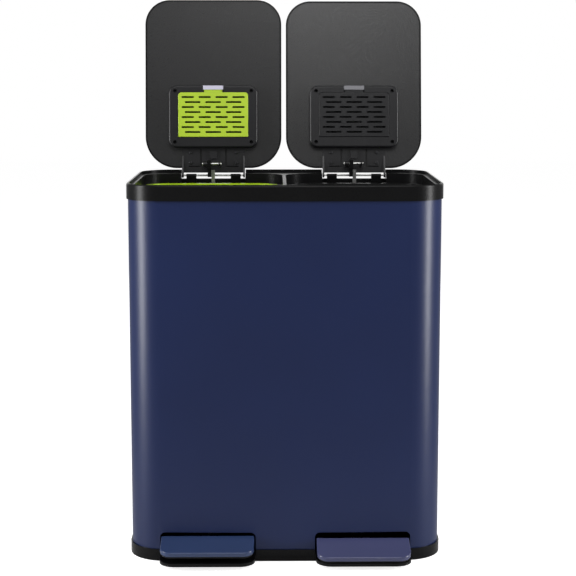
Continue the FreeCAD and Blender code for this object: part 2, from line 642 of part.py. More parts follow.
def make_rod_across(label, radius, x0, x1, y, z):
    """A plain pin or axle along X with broken ends."""
    pin = start_body(label)
    end = sketch_on(pin, "YZ_Plane", at=x0)
    circle(end, y, z, radius)
    pad(pin, end, f"({x1}) - ({x0})")
    shank = pin.Tip
    rims = [
        f"Edge{number}"
        for number, edge in enumerate(shank.Shape.Edges, start=1)
        if len(edge.Vertexes) == 1
    ]
    chamfer = pin.newObject("PartDesign::Chamfer", label + "_ends")
    chamfer.Base = (shank, rims)
    chamfer.setExpression("Size", full(f"({radius}) / 5"))
    document.recompute()
    return pin


def make_guide(name, sign):
    """A block on the casing's rear wall that the push rod slides through."""
    guide = start_body(f"{name}_rod_guide")
    block = sketch_on(guide, at="guide_bottom")
    wall = "half_depth - wall_reveal - sheet_steel"
    rectangle(block, bay(sign, "-guide_half"), bay(sign, "guide_half"), "guide_front", wall)
    for way in (-1, 1):
        x = bay(sign, f"{way} * (guide_half + rod_half) / 2")
        half = "(guide_half - rod_half) / 2 - rim_wall"
        rectangle(block, f"{x} - ({half})", f"{x} + ({half})", "guide_front + rim_wall",
                  f"{wall} - guide_hollow_wall")
    rectangle(block, bay(sign, "-rod_half - fit_gap"), bay(sign, "rod_half + fit_gap"),
              "rod_y - rod_thickness / 2 - fit_gap", "rod_y + rod_thickness / 2 + fit_gap")
    pad(guide, block, "guide_height")
    holes = sketch_on(guide, "XZ_Plane", at=f"{wall} + {beyond}")
    for way in (-1, 1):
        circle(holes, bay(sign, f"{way} * guide_screw_x"), "guide_bottom + guide_height / 2",
               "screw_shank + running_gap")
    pocket(guide, holes, f"guide_screw_length + {beyond}", reverse=True)


def make_guide_screws():
    seat = size("half_depth - wall_reveal")
    height = size("guide_bottom + guide_height / 2")
    length = size("guide_screw_length")
    set_of_solids("guide_screws", [
        screw((size(bay(sign, f"{way} * guide_screw_x")), seat, height), (0, -1, 0), length)
        for name, sign in sides for way in (-1, 1)
    ])


# The lids are drawn shut about their hinge pin: X along the pin, the lid towards -Y.

def lid_outline(sketch, inset="0"):
    rounded(sketch, f"({inset}) - lid_half", f"lid_half - ({inset})", f"({inset}) - lid_far",
            f"-hinge_setback - ({inset})", f"lid_front_radius - ({inset})",
            f"lid_rear_radius - ({inset})")


def lid_screw_places():
    """Where screws go up into the lid: four of the deodoriser and four of the bracket."""
    filter_y = ("-filter_far + filter_screw_end", "-filter_near - filter_screw_end")
    bracket_y = ("-bracket_screw_near", "-bracket_screw_far")
    return (
        [(f"{way} * filter_screw_x", y) for way in (-1, 1) for y in filter_y],
        [(f"{way} * bracket_screw_x", y) for way in (-1, 1) for y in bracket_y],
    )


def make_lid_frame(name):
    frame = start_body(f"{name}_lid_frame")
    outside = sketch_on(frame, at="lid_drop")
    lid_outline(outside)
    pad(frame, outside, "lid_frame_height")
    soften(frame, "frame_edge_radius", lies_at("Z", "lid_top"))
    seat = sketch_on(frame, at="lid_drop")
    lid_outline(seat, "hem_width")
    pocket(frame, seat, "panel_thickness", reverse=True)
    hollow = sketch_on(frame, at="lid_drop + panel_thickness")
    lid_outline(hollow, "hem_width + panel_step")
    pocket(frame, hollow, "lid_frame_height - panel_thickness - frame_top", reverse=True)
    return frame


def make_lid_skin(name):
    """The painted steel sheet that covers the lid's upper side."""
    skin = start_body(f"{name}_lid_skin")
    sheet_outline = sketch_on(skin, at="lid_top")
    lid_outline(sheet_outline, "skin_inset")
    pad(skin, sheet_outline, "lid_skin_height")
    soften(skin, "skin_edge_radius", lies_at("Z", "lid_top + lid_skin_height"))
    return skin


def make_lid_panel(name):
    panel = start_body(f"{name}_lid_panel")
    plate = sketch_on(panel, at="lid_drop")
    lid_outline(plate, "hem_width + fit_gap")
    pad(panel, plate, "panel_thickness")
    holes = sketch_on(panel, at=f"lid_drop - {beyond}")
    for group in lid_screw_places():
        for x, y in group:
            circle(holes, x, y, "screw_bore")
    pocket(panel, holes, f"panel_thickness + 2 * {beyond}", reverse=True)
    return panel


def make_filter_frame(name):
    """The deodoriser's housing, screwed to the inside of the lid."""
    frame = start_body(f"{name}_filter_frame")
    outside = sketch_on(frame, at="filter_face")
    rounded(outside, "-filter_half", "filter_half", "-filter_far", "-filter_near", "filter_radius")
    pad(frame, outside, "filter_depth")
    soften(frame, "filter_edge_radius", lies_at("Z", "filter_face"))
    recess = sketch_on(frame, at=f"filter_face - {beyond}")
    rounded(recess, "-cover_half - cover_gap", "cover_half + cover_gap", "-cover_far - cover_gap",
            "cover_heel - cover_near", "cover_radius + cover_gap", "moulding_radius")
    pocket(frame, recess, f"cover_thickness + cover_play + {beyond}", reverse=True)
    cavity = sketch_on(frame, at="filter_face")
    rectangle(cavity, "cavity_inset - cover_half", "cover_half - cavity_inset", "-cavity_far",
              "cover_heel - cover_near")
    pocket(frame, cavity, "filter_depth - filter_floor", reverse=True)
    latch_bay = sketch_on(frame, at=f"filter_face - {beyond}")
    rectangle(latch_bay, "-latch_half - cover_gap", "latch_half + cover_gap", f"-filter_far - {beyond}",
              "-cover_far + cavity_inset")
    pocket(frame, latch_bay, f"latch_bay_depth + {beyond}", reverse=True)
    pivots = sketch_on(frame, "YZ_Plane", at="-latch_half - pivot_reach - cover_gap")
    circle(pivots, "-latch_pivot_y", "latch_pivot_z", "cover_pivot_radius + running_gap")
    pocket(frame, pivots, "2 * (latch_half + pivot_reach + cover_gap)", reverse=True)
    hinges = sketch_on(frame, "YZ_Plane", at="-cover_half - pivot_reach - cover_gap")
    circle(hinges, "-cover_pivot_y", "cover_pivot_z", "cover_pivot_radius + running_gap")
    pocket(frame, hinges, "2 * (cover_half + pivot_reach + cover_gap)", reverse=True)
    wells = sketch_on(frame, at=f"filter_face - {beyond}")
    holes = sketch_on(frame, at="filter_face")
    for x, y in lid_screw_places()[0]:
        circle(wells, x, y, "screw_hole")
        circle(holes, x, y, "screw_bore")
    pocket(frame, wells, f"filter_depth - filter_screw_floor + {beyond}", reverse=True)
    pocket(frame, holes, f"filter_depth + {beyond}", reverse=True)
    return frame


def make_filter_cover(name):
    """The louvred cover: rows of four short and three long slots in turn."""
    cover = start_body(f"{name}_filter_cover")
    plate = sketch_on(cover, at="filter_face")
    rounded(plate, "-cover_half", "cover_half", "-cover_far", "-cover_near", "cover_radius",
            "moulding_radius")
    pad(cover, plate, "cover_thickness")
    soften(cover, "cover_edge_radius", lies_at("Z", "filter_face"))
    tab = sketch_on(cover, at="filter_face + tab_step")
    rounded(tab, "-tab_half", "tab_half", "-cover_far - tab_length", f"-cover_far + 2 * {bite}",
            "small_radius")
    pad(cover, tab, "cover_thickness")
    axle = sketch_on(cover, "YZ_Plane", at="-cover_half - pivot_reach")
    circle(axle, "-cover_pivot_y", "cover_pivot_z", "cover_pivot_radius")
    pad(cover, axle, "2 * (cover_half + pivot_reach)")
    for first_row, count, length, pitch in (
        (0, 4, "short_slot", "short_slot_pitch"), (1, 3, "long_slot", "long_slot_pitch")
    ):
        row = sketch_on(cover, at=f"filter_face - {beyond}")
        y = f"-(cover_near + cover_far) / 2 - ({(slot_rows - 1) / 2} - {first_row}) * slot_pitch"
        for number in range(count):
            middle = f"({number} - {(count - 1) / 2}) * {pitch}"
            slot(row, f"{middle} - {length} / 2", f"{middle} + {length} / 2", y, "slot_height")
        cut = pocket(cover, row, f"cover_thickness + 2 * {beyond}", reverse=True)
        rows = cover.newObject("PartDesign::LinearPattern", cover.Label + "_rows")
        rows.Originals = [cut]
        rows.Direction = (row, ["V_Axis"])
        rows.setExpression("Length", full(f"{slot_rows - 2} * slot_pitch"))
        rows.Occurrences = slot_rows // 2
        cover.Tip = rows
        document.recompute()
    return cover


def make_filter_latch(name):
    """The sprung clip that hooks over the cover's tab."""
    latch = start_body(f"{name}_filter_latch")
    side = sketch_on(latch, "YZ_Plane", at="-latch_half")
    inner = "latch_thickness - filter_far"
    polygon(side, (
        ("-filter_far", "filter_face"),
        (f"{inner} + latch_hook", "filter_face"),
        (f"{inner} + latch_hook", "filter_face + tab_step - fit_gap"),
        (inner, "filter_face + tab_step + cover_gap"),
        (inner, "filter_face + latch_bay_depth - latch_clear"),
        ("-filter_far", "filter_face + latch_bay_depth - latch_clear"),
    ))
    pad(latch, side, "2 * latch_half")
    soften(latch, "latch_edge_radius", lambda edge: lies_at("Z", "filter_face")(edge)
           and edge.BoundBox.YMax < size("-filter_far") + 0.01)
    axle = sketch_on(latch, "YZ_Plane", at="-latch_half - pivot_reach")
    circle(axle, "-latch_pivot_y", "latch_pivot_z", "cover_pivot_radius")
    pad(latch, axle, "2 * (latch_half + pivot_reach)")
    return latch


def make_carbon_filter(name):
    """The charcoal pad behind the cover."""
    carbon = start_body(f"{name}_carbon_filter")
    outline = sketch_on(carbon, at="lid_drop - filter_floor - pad_height")
    rounded(outline, "cavity_inset + cover_gap - cover_half", "cover_half - cavity_inset - cover_gap",
            "cover_gap - cavity_far", "-cover_near - cover_gap", "pad_corner")
    pad(carbon, outline, "pad_height")
    soften(carbon, "pad_edge", lies_at("Z", "lid_drop - filter_floor - pad_height"))
    return carbon


def make_bracket(name):
    """The plate between the deodoriser and the hinge pin, with the arms of the link."""
    bracket = start_body(f"{name}_hinge_bracket")
    plate = sketch_on(bracket, at="bracket_face")
    rounded(plate, "-bracket_half", "bracket_half", "-filter_near", "-bracket_clear",
            "small_radius", "bracket_corner")
    pad(bracket, plate, "bracket_thickness")
    grooves = sketch_on(bracket, at=f"bracket_face - {beyond}")
    for way in (-1, 1):
        middle = f"{way} * groove_x"
        rectangle(grooves, f"{middle} - groove_width / 2", f"{middle} + groove_width / 2",
                  "groove_end - filter_near", "-bracket_clear - groove_root")
    pocket(bracket, grooves, f"groove_depth + {beyond}", reverse=True)
    block = sketch_on(bracket, at="bracket_face - stop_height")
    rounded(block, "-stop_half", "stop_half", "-stop_far", "-stop_near", "stop_radius")
    pad(bracket, block, f"stop_height + {bite}")
    cuts = sketch_on(bracket, at=f"bracket_face - stop_height - {beyond}")
    for way in (-1, 1):
        slot(cuts, f"{way} * bracket_slot_x - bracket_slot / 2",
             f"{way} * bracket_slot_x + bracket_slot / 2", "-bracket_clear - bracket_slot_y",
             "bracket_slot_height")
    for x, y in lid_screw_places()[1]:
        circle(cuts, x, y, "screw_bore")
    pocket(bracket, cuts, f"bracket_thickness + stop_height + 2 * {beyond}", reverse=True)
    for start in ("-bracket_half", "bracket_half - flange_thickness"):
        flange = sketch_on(bracket, "YZ_Plane", at=start)
        first = flange.GeometryCount
        reach = size("flange_reach")
        round_by = size("flange_radius")
        face = size("bracket_face")
        flange.addGeometry(bend((0, 0), round_by, -90, 90))
        flange.addGeometry(straight((0, round_by), (-reach, round_by)))
        flange.addGeometry(straight((-reach, round_by), (-reach, face)))
        flange.addGeometry(straight((-reach, face), (0, -round_by)))
        chain(flange, first, 4, "Coincident")
        flange.addConstraint(Sketcher.Constraint("Horizontal", first + 1))
        flange.addConstraint(Sketcher.Constraint("Vertical", first + 2))
        flange.addConstraint(Sketcher.Constraint("Coincident", first, 3, -1, 1))
        flange.addConstraint(Sketcher.Constraint("PointOnObject", first, 1, -2))
        flange.addConstraint(Sketcher.Constraint("PointOnObject", first, 2, -2))
        hold(flange, "Radius", first, to="flange_radius")
        hold(flange, "DistanceX", -1, 1, first + 2, 1, to="-flange_reach")
        hold(flange, "DistanceY", -1, 1, first + 3, 1, to="bracket_face")
        number = flange.GeometryCount
        flange.addGeometry(Part.Circle(vector(0, 0), vector(0, 0, 1), size("pin_radius + 2 * running_gap")))
        flange.addConstraint(Sketcher.Constraint("Coincident", number, 3, -1, 1))
        hold(flange, "Radius", number, to="pin_radius + 2 * running_gap")
        pad(bracket, flange, "flange_thickness")
    for start, thickness in (
        ("-link_arm_near - link_arm_left", "link_arm_left"), ("link_arm_near", "link_arm_right")
    ):
        arm = sketch_on(bracket, "YZ_Plane", at=start)
        down = size("-link_z")
        middle = size("-link_y")
        round_by = size("arm_radius")
        top = size(f"bracket_face + {bite}")
        arm.addGeometry(bend((middle, down), round_by, 180, 360))
        arm.addGeometry(straight((middle + round_by, down), (middle + round_by, top)))
        arm.addGeometry(straight((middle + round_by, top), (middle - round_by, top)))
        arm.addGeometry(straight((middle - round_by, top), (middle - round_by, down)))
        arm.addConstraint(Sketcher.Constraint("Tangent", 0, 2, 1, 1))
        arm.addConstraint(Sketcher.Constraint("Coincident", 1, 2, 2, 1))
        arm.addConstraint(Sketcher.Constraint("Coincident", 2, 2, 3, 1))
        arm.addConstraint(Sketcher.Constraint("Tangent", 3, 2, 0, 1))
        for side, kind in ((1, "Vertical"), (2, "Horizontal"), (3, "Vertical")):
            arm.addConstraint(Sketcher.Constraint(kind, side))
        hold(arm, "Radius", 0, to="arm_radius")
        hold(arm, "DistanceX", -1, 1, 0, 3, to="-link_y")
        hold(arm, "DistanceY", -1, 1, 0, 3, to="-link_z")
        hold(arm, "DistanceY", -1, 1, 2, 1, to=f"bracket_face + {bite}")
        circle(arm, "-link_y", "-link_z", "link_radius + running_gap")
        pad(bracket, arm, thickness)
    return bracket


def make_lid_screws(name):
    """Screws up into the lid, seated in the deodoriser's wells and on the bracket."""
    filter_places, bracket_places = lid_screw_places()
    top = size("lid_drop + panel_thickness")
    filter_seat = size("lid_drop - filter_screw_floor")
    bracket_seat = size("bracket_face")
    filter_screws = set_of_solids(f"{name}_filter_screws", [
        screw((size(x), size(y), filter_seat), (0, 0, 1), top - filter_seat)
        for x, y in filter_places
    ])
    bracket_screws = set_of_solids(f"{name}_bracket_screws", [
        screw((size(x), size(y), bracket_seat), (0, 0, 1), top - bracket_seat)
        for x, y in bracket_places
    ])
    return [filter_screws, bracket_screws]


def make_lid(name, sign, angle):
    pieces = [
        make(name) for make in (
            make_lid_frame, make_lid_skin, make_lid_panel, make_filter_frame, make_filter_cover,
            make_filter_latch, make_carbon_filter, make_bracket,
        )
    ]
    pieces += make_lid_screws(name)
    pieces.append(make_rod_across(f"{name}_link_pin", "link_radius",
                                  "-link_arm_near - link_arm_left - pin_overhang",
                                  "link_arm_near + link_arm_right + pin_overhang",
                                  "-link_y", "-link_z"))
    place = vector(size(bay(sign)), size("hinge_y"), size("hinge_z"))
    turn = FreeCAD.Rotation(vector(1, 0, 0), -size(angle))
    for piece in pieces:
        piece.Placement = FreeCAD.Placement(place, turn)


# The push rods are drawn down, as they stand when the lids are shut.

def make_push_rod(name):
    rod = start_body(f"{name}_push_rod")
    strip = sketch_on(rod, at="strip_bottom")
    rectangle(strip, "-rod_half", "rod_half", "rod_y - rod_thickness / 2",
              "rod_y + rod_thickness / 2")
    pad(rod, strip, "slot_z - head_half - rod_joint - strip_bottom + strip_lap")
    return rod


def make_rod_head(name):
    """The block beside the rod whose level slot takes the lid's link pin."""
    head = start_body(f"{name}_rod_head")
    outside = sketch_on(head, "YZ_Plane", at="-rod_half - head_thickness")
    rear = "rod_y + rod_thickness / 2"
    polygon(outside, (
        ("head_front", "slot_z - head_half"), (f"{rear} - head_tail", "slot_z - head_half"),
        (f"{rear} - head_tail", "slot_z - head_half - rod_joint"),
        (rear, "slot_z - head_half - rod_joint"), (rear, "slot_z + head_half"),
        ("head_front", "slot_z + head_half"),
    ))
    slot(outside, "slot_front", f"{rear} - slot_rear_wall", "slot_z", "2 * slot_half")
    pad(head, outside, "head_thickness")
    return head


def make_rod_foot(name):
    """The saddle that the pedal lever's roller lifts: a roof with two cheeks."""
    foot = start_body(f"{name}_rod_foot")
    block = sketch_on(foot, at="roof_z - cheek_length")
    rectangle(block, "-foot_half", "foot_half", "foot_front", "foot_front + foot_length")
    pad(foot, block, "cheek_length + foot_roof")
    tunnel = sketch_on(foot, at="roof_z - cheek_length")
    rectangle(tunnel, "-cheek_inner", "cheek_inner", f"foot_front - {beyond}",
              f"foot_front + foot_length + {beyond}")
    pocket(foot, tunnel, "cheek_length", reverse=True)
    socket = sketch_on(foot, at="foot_top")
    rectangle(socket, "-rod_half", "rod_half", "rod_y - rod_thickness / 2",
              "rod_y + rod_thickness / 2")
    pocket(foot, socket, "foot_top - strip_bottom")
    return foot


def make_rod(name, sign, stroke):
    place = vector(size(bay(sign)), 0, size(stroke))
    for make in (make_push_rod, make_rod_head, make_rod_foot):
        make(name).Placement = FreeCAD.Placement(place, FreeCAD.Rotation())


# The pedals are drawn level about their axle, with the tread towards -Y.

def tread_outline(sketch, inset):
    rounded(sketch, f"({inset}) - pedal_half", f"pedal_half - ({inset})",
            f"({inset}) - pedal_reach", "-pedal_back", f"pedal_radius - ({inset})",
            "moulding_radius")


def make_pedal_plate(name):
    """The painted steel cap of the pedal."""
    plate = start_body(f"{name}_pedal_plate")
    outside = sketch_on(plate, at="plate_top - plate_skirt")
    tread_outline(outside, "0")
    pad(plate, outside, "plate_skirt")
    soften(plate, "plate_edge_radius", lambda edge: lies_at("Z", "plate_top")(edge)
           and edge.BoundBox.YMin < size("-pedal_back") - bite)
    inside = sketch_on(plate, at="plate_top - plate_skirt")
    rounded(inside, "plate_thickness - pedal_half", "pedal_half - plate_thickness",
            "plate_thickness - pedal_reach", f"{beyond} - pedal_back",
            "pedal_radius - plate_thickness", "moulding_radius")
    pocket(plate, inside, "plate_skirt - plate_thickness", reverse=True)
    return plate


def make_pedal_body(name):
    """The moulded lever under the cap, with its neck and hub on the axle."""
    body = start_body(f"{name}_pedal_body")
    tread = sketch_on(body, at="tread_bottom")
    tread_outline(tread, "plate_thickness + fit_gap")
    pad(body, tread, "plate_top - plate_thickness - tread_bottom")
    soften(body, "body_edge_radius", lambda edge: lies_at("Z", "tread_bottom")(edge)
           and edge.BoundBox.YMin < size("-pedal_back") - bite)
    neck = sketch_on(body, "YZ_Plane", at="-neck_half")
    polygon(neck, (
        ("-pedal_back - neck_root", f"tread_bottom + {bite}"), ("-neck_knee", "neck_low"),
        ("-hub_radius / 2", "hub_low"), ("hub_radius / 2", "hub_low"),
        ("-hub_low", "-hub_radius / 2"), ("-hub_low", "hub_radius / 2"),
        ("-hub_radius", "hub_radius + neck_lift"), (f"{bite} - pedal_back", "neck_top"),
        ("-pedal_back - neck_root", "neck_top"),
    ))
    pad(body, neck, "2 * neck_half")
    gap = sketch_on(body, at=f"-hub_radius - {beyond}")
    rectangle(gap, "-lever_thickness / 2 - running_gap", "lever_thickness / 2 + running_gap",
              "-lever_front", f"hub_radius + {beyond}")
    pocket(body, gap, f"plate_top + hub_radius + {beyond}", reverse=True)
    bores = sketch_on(body, "YZ_Plane", at=f"-neck_half - {beyond}")
    circle(bores, "0", "0", "axle_radius + running_gap")
    circle(bores, "-rivet_y", "rivet_z", "lever_rivet_radius")
    pocket(body, bores, f"2 * (neck_half + {beyond})", reverse=True)
    return body


def make_pedal_lever(name):
    """The flat steel bar from the pedal's neck to the foot of the push rod."""
    lever = start_body(f"{name}_pedal_lever")
    side = sketch_on(lever, "YZ_Plane", at="-lever_thickness / 2")
    polygon(side, (
        ("fit_gap - lever_front", "lever_nose"), ("-neck_knee", "neck_low + lever_step"),
        ("-lever_end", "lever_low"), ("lever_heel", "lever_low"),
        ("lever_back", "-lever_fall - lever_end_low"), ("lever_back", "lever_step - lever_fall"),
        ("lever_back - lever_end_slope", "lever_end_high - lever_fall"),
        ("lever_top", "hub_radius - 2 * lever_step"), ("-2 * lever_step", "-lever_low"),
        ("fit_gap - lever_front", "lever_nose + lever_end"),
    ))
    circle(side, "0", "0", "axle_radius + running_gap")
    circle(side, "-rivet_y", "rivet_z", "lever_rivet_radius")
    circle(side, "lever_length", "-lever_fall", "lever_pin_radius")
    pad(lever, side, "lever_thickness")
    return lever


def make_lever_pin(name):
    """A riveted pin with a round runner each side of the lever, under the rod's foot."""
    pin = start_body(f"{name}_lever_pin")
    for start, end, radius in (
        ("-roller_half", "roller_half", "lever_pin_radius"),
        ("-roller_half", "-roller_start", "roller_radius"),
        ("roller_start", "roller_half", "roller_radius"),
    ):
        section = sketch_on(pin, "YZ_Plane", at=start)
        circle(section, "lever_length", "-lever_fall", radius)
        pad(pin, section, f"{end} - ({start})")
    return pin


def make_pedal(name, sign, tilt):
    pieces = [make_pedal_plate(name), make_pedal_body(name), make_pedal_lever(name)]
    pieces.append(make_lever_pin(name))
    pieces.append(make_rod_across(f"{name}_lever_rivet", "lever_rivet_radius", "-neck_half",
                                  "neck_half", "-rivet_y", "rivet_z"))
    place = vector(size(bay(sign)), -size("pedal_y"), size("pedal_z"))
    turn = FreeCAD.Rotation(vector(1, 0, 0), size(tilt))
    for piece in pieces:
        piece.Placement = FreeCAD.Placement(place, turn)


def bucket_section(body, height, half, front, rear, corner):
    section = sketch_on(body, at=height)
    rounded(section, f"-({half})", half, front, rear, corner)
    return section


def loft(body, kind, sections):
    feature = body.newObject(kind, body.Label + "_loft")
    feature.Profile = sections[0]
    feature.Sections = [sections[1]]
    feature.Ruled = True
    document.recompute()


def make_bucket(name, sign):
    """A tapered bucket hung by its flange in the rim, with two ears for the bail."""
    bucket = start_body(f"{name}_bucket")
    wall_radius = "bucket_radius - flange_overhang"
    loft(bucket, "PartDesign::AdditiveLoft", [
        bucket_section(bucket, f"bucket_seat + {bite}", "mouth_half", "mouth_front", "mouth_rear",
                       wall_radius),
        bucket_section(bucket, "bucket_bottom", "mouth_half - bucket_taper",
                       "mouth_front + bucket_taper", "mouth_rear - bucket_taper", wall_radius),
    ])
    soften(bucket, "bucket_foot_radius", lies_at("Z", "bucket_bottom"))
    flange = sketch_on(bucket, at="bucket_seat")
    rounded(flange, "-flange_half", "flange_half", "-flange_front", "flange_rear", "bucket_radius")
    pad(bucket, flange, "bucket_flange")
    soften(bucket, "flange_edge_radius", lies_at("Z", "bucket_top"))
    loft(bucket, "PartDesign::SubtractiveLoft", [
        bucket_section(bucket, f"bucket_top + {beyond}", "mouth_half - bucket_wall",
                       "mouth_front + bucket_wall", "mouth_rear - bucket_wall",
                       f"{wall_radius} - bucket_wall"),
        bucket_section(bucket, "bucket_bottom + bucket_floor",
                       "mouth_half - bucket_taper - bucket_wall",
                       "mouth_front + bucket_taper + bucket_wall",
                       "mouth_rear - bucket_taper - bucket_wall", f"{wall_radius} - bucket_wall"),
    ])
    for way in (-1, 1):
        middle = f"{way} * (mouth_half + flange_half) / 2"
        ear = sketch_on(bucket, "YZ_Plane", at=f"{middle} - bail_ear_width / 2")
        arch(ear, "bail_y", "bail_z", "bail_ear", f"bucket_top - {bite}")
        circle(ear, "bail_y", "bail_z", "bail_radius + running_gap")
        pad(bucket, ear, "bail_ear_width")
    bucket.Placement = FreeCAD.Placement(vector(size(bay(sign)), 0, 0), FreeCAD.Rotation())


def make_bail(name, sign):
    """The bucket's wire handle, lying forward on the flange."""
    radius = size("bail_radius")
    height = size("bail_z")
    hook = size("(mouth_half + flange_half) / 2 + bail_ear_width / 2")
    arm = size("mouth_half - bail_inset")
    pivot = size("bail_y")
    front = size("bail_inset_front - flange_front")
    corner = size("bail_corner")
    knee = 2 * radius
    inward = 1 - math.sqrt(0.5)     # where an arc's middle lies, as a share of its radius

    def at(x, y):
        return vector(x, y, height)

    def half_of_it(way):
        """From the ear along the arm to the middle of the front, on the side way."""
        return [
            Part.LineSegment(at(way * hook, pivot), at(way * (arm + knee), pivot)),
            Part.Arc(at(way * (arm + knee), pivot),
                     at(way * (arm + knee * inward), pivot - knee * inward),
                     at(way * arm, pivot - knee)),
            Part.LineSegment(at(way * arm, pivot - knee), at(way * arm, front + corner)),
            Part.Arc(at(way * arm, front + corner),
                     at(way * (arm - corner * inward), front + corner * inward),
                     at(way * (arm - corner), front)),
            Part.LineSegment(at(way * (arm - corner), front), at(0, front)),
        ]
    edges = [piece.toShape() for piece in half_of_it(1) + half_of_it(-1)[::-1]]
    wire = Part.Wire(edges)
    section = Part.Wire([Part.makeCircle(radius, at(hook, pivot), vector(1, 0, 0))])
    bail = document.addObject("Part::Feature", f"{name}_bail")
    bail.Label = f"{name}_bail"
    bail.Shape = wire.makePipeShell([section], True, True)
    bail.Placement = FreeCAD.Placement(vector(size(bay(sign)), 0, 0), FreeCAD.Rotation())
    sub_parts.append(bail)


make_casing()
make_rim()
make_base()
make_base_trim()
make_guide_screws()
for name, sign in sides:
    make_grip(name, sign)
    make_guide(name, sign)
    make_rod_across(f"{name}_hinge_pin", "pin_radius", bay(sign, "-bracket_half"),
                    bay(sign, "bracket_half"), "hinge_y", "hinge_z")
    half_axle = "neck_half + ear_gap + ear_thickness + axle_overhang"
    make_rod_across(f"{name}_pedal_axle", "axle_radius", bay(sign, f"-({half_axle})"),
                    bay(sign, half_axle), "-pedal_y", "pedal_z")
    make_lid(name, sign, f"{name}_lid_angle")
    make_rod(name, sign, f"rod_stroke_{name}")
    make_pedal(name, sign, f"{name}_tilt")
    make_bucket(name, sign)
    make_bail(name, sign)
document.recompute()

for item in document.Objects:
    if "Invalid" in item.State or "Error" in item.State:
        raise ValueError(f"{item.Label} failed: {item.State}")
os.makedirs("parts", exist_ok=True)
for piece in sub_parts:
    if piece.Shape.isNull() or not piece.Shape.isValid():
        raise ValueError(f"{piece.Label} has no valid shape")
    piece.Shape.exportStep(f"parts/{piece.Label}.step")
print(len(sub_parts), "sub-parts")
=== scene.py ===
import json
import math

import bmesh
import bpy
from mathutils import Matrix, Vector, noise


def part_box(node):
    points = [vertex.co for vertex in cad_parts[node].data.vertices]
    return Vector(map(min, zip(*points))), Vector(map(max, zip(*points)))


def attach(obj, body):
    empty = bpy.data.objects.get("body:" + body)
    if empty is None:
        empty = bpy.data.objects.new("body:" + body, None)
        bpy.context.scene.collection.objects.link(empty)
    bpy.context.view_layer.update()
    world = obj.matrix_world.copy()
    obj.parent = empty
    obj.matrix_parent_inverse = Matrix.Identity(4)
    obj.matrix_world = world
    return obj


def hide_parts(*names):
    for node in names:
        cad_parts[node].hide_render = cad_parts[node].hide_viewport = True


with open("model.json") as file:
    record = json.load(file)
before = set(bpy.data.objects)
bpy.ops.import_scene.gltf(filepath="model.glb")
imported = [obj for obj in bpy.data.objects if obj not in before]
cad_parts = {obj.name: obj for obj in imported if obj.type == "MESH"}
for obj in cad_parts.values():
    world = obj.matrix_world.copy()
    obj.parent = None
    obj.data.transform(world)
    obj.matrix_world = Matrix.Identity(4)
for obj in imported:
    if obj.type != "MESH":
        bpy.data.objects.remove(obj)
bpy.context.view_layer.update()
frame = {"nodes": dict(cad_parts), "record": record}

nodes = frame["nodes"]


def addObject(name, data):
    item = bpy.data.objects.new(name, data)
    bpy.context.scene.collection.objects.link(item)
    return item


def setSockets(node, values):
    for socket, value in values.items():
        node.inputs[socket].default_value = value


def addNode(tree, kind, values=None):
    node = tree.nodes.new(kind)
    setSockets(node, values or {})
    return node


def newFinish(name):
    finish = bpy.data.materials.new(name)
    finish.use_nodes = True
    return finish, finish.node_tree, finish.node_tree.nodes["Principled BSDF"]


def grain(tree, size, detail, stretch=(1, 1, 1)):
    # noise whose grains are about size metres across, drawn out along an axis by stretch
    place = addNode(tree, "ShaderNodeTexCoord")
    mapping = addNode(tree, "ShaderNodeMapping", {"Scale": [axis / size for axis in stretch]})
    pattern = addNode(tree, "ShaderNodeTexNoise", {"Detail": detail, "Scale": 1})
    tree.links.new(place.outputs["Object"], mapping.inputs["Vector"])
    tree.links.new(mapping.outputs["Vector"], pattern.inputs["Vector"])
    return pattern.outputs["Fac"]


patternEnds = (0.3, 0.7)     # nearly all of a noise pattern lies between these


def between(tree, pattern, low, high):
    # turns a pattern into values from low to high
    spread = addNode(tree, "ShaderNodeMapRange", {
        "From Min": patternEnds[0], "From Max": patternEnds[1], "To Min": low, "To Max": high})
    tree.links.new(pattern, spread.inputs["Value"])
    return spread.outputs["Result"]


def tint(tree, shader, pattern, look):
    # the colour, a little darker and lighter by the pattern
    ramp = addNode(tree, "ShaderNodeValToRGB")
    amounts = (1 - look["shade"], 1 + look["shade"])
    for end, position, amount in zip(ramp.color_ramp.elements, patternEnds, amounts):
        end.position = position
        end.color = [part * amount for part in look["colour"]] + [1]
    tree.links.new(pattern, ramp.inputs["Fac"])
    tree.links.new(ramp.outputs["Color"], shader.inputs["Base Color"])


def roughen(tree, shader, pattern, look):
    less, more = look["uneven"]
    spread = between(tree, pattern, look["roughness"] - less, look["roughness"] + more)
    tree.links.new(spread, shader.inputs["Roughness"])


def relief(tree, shader, pattern, look):
    bump = addNode(tree, "ShaderNodeBump", {"Distance": look["depth"]})
    tree.links.new(pattern, bump.inputs["Height"])
    tree.links.new(bump.outputs["Normal"], shader.inputs["Normal"])


def paintFinish(name, look):
    # powder coat over steel: fine orange peel and a faint cloudiness
    finish, tree, shader = newFinish(name)
    peel = grain(tree, look["peel"], detail=3)
    tint(tree, shader, grain(tree, look["cloud"], detail=2), look)
    roughen(tree, shader, peel, look)
    relief(tree, shader, peel, look)
    setSockets(shader, {"Specular IOR Level": look["gloss"]})
    return finish


def plasticFinish(name, look):
    # spark-eroded mould texture
    finish, tree, shader = newFinish(name)
    texture = grain(tree, look["grain"], detail=6)
    tint(tree, shader, grain(tree, look["cloud"], detail=2), look)
    roughen(tree, shader, texture, look)
    relief(tree, shader, texture, look)
    setSockets(shader, {"Specular IOR Level": look["gloss"]})
    return finish


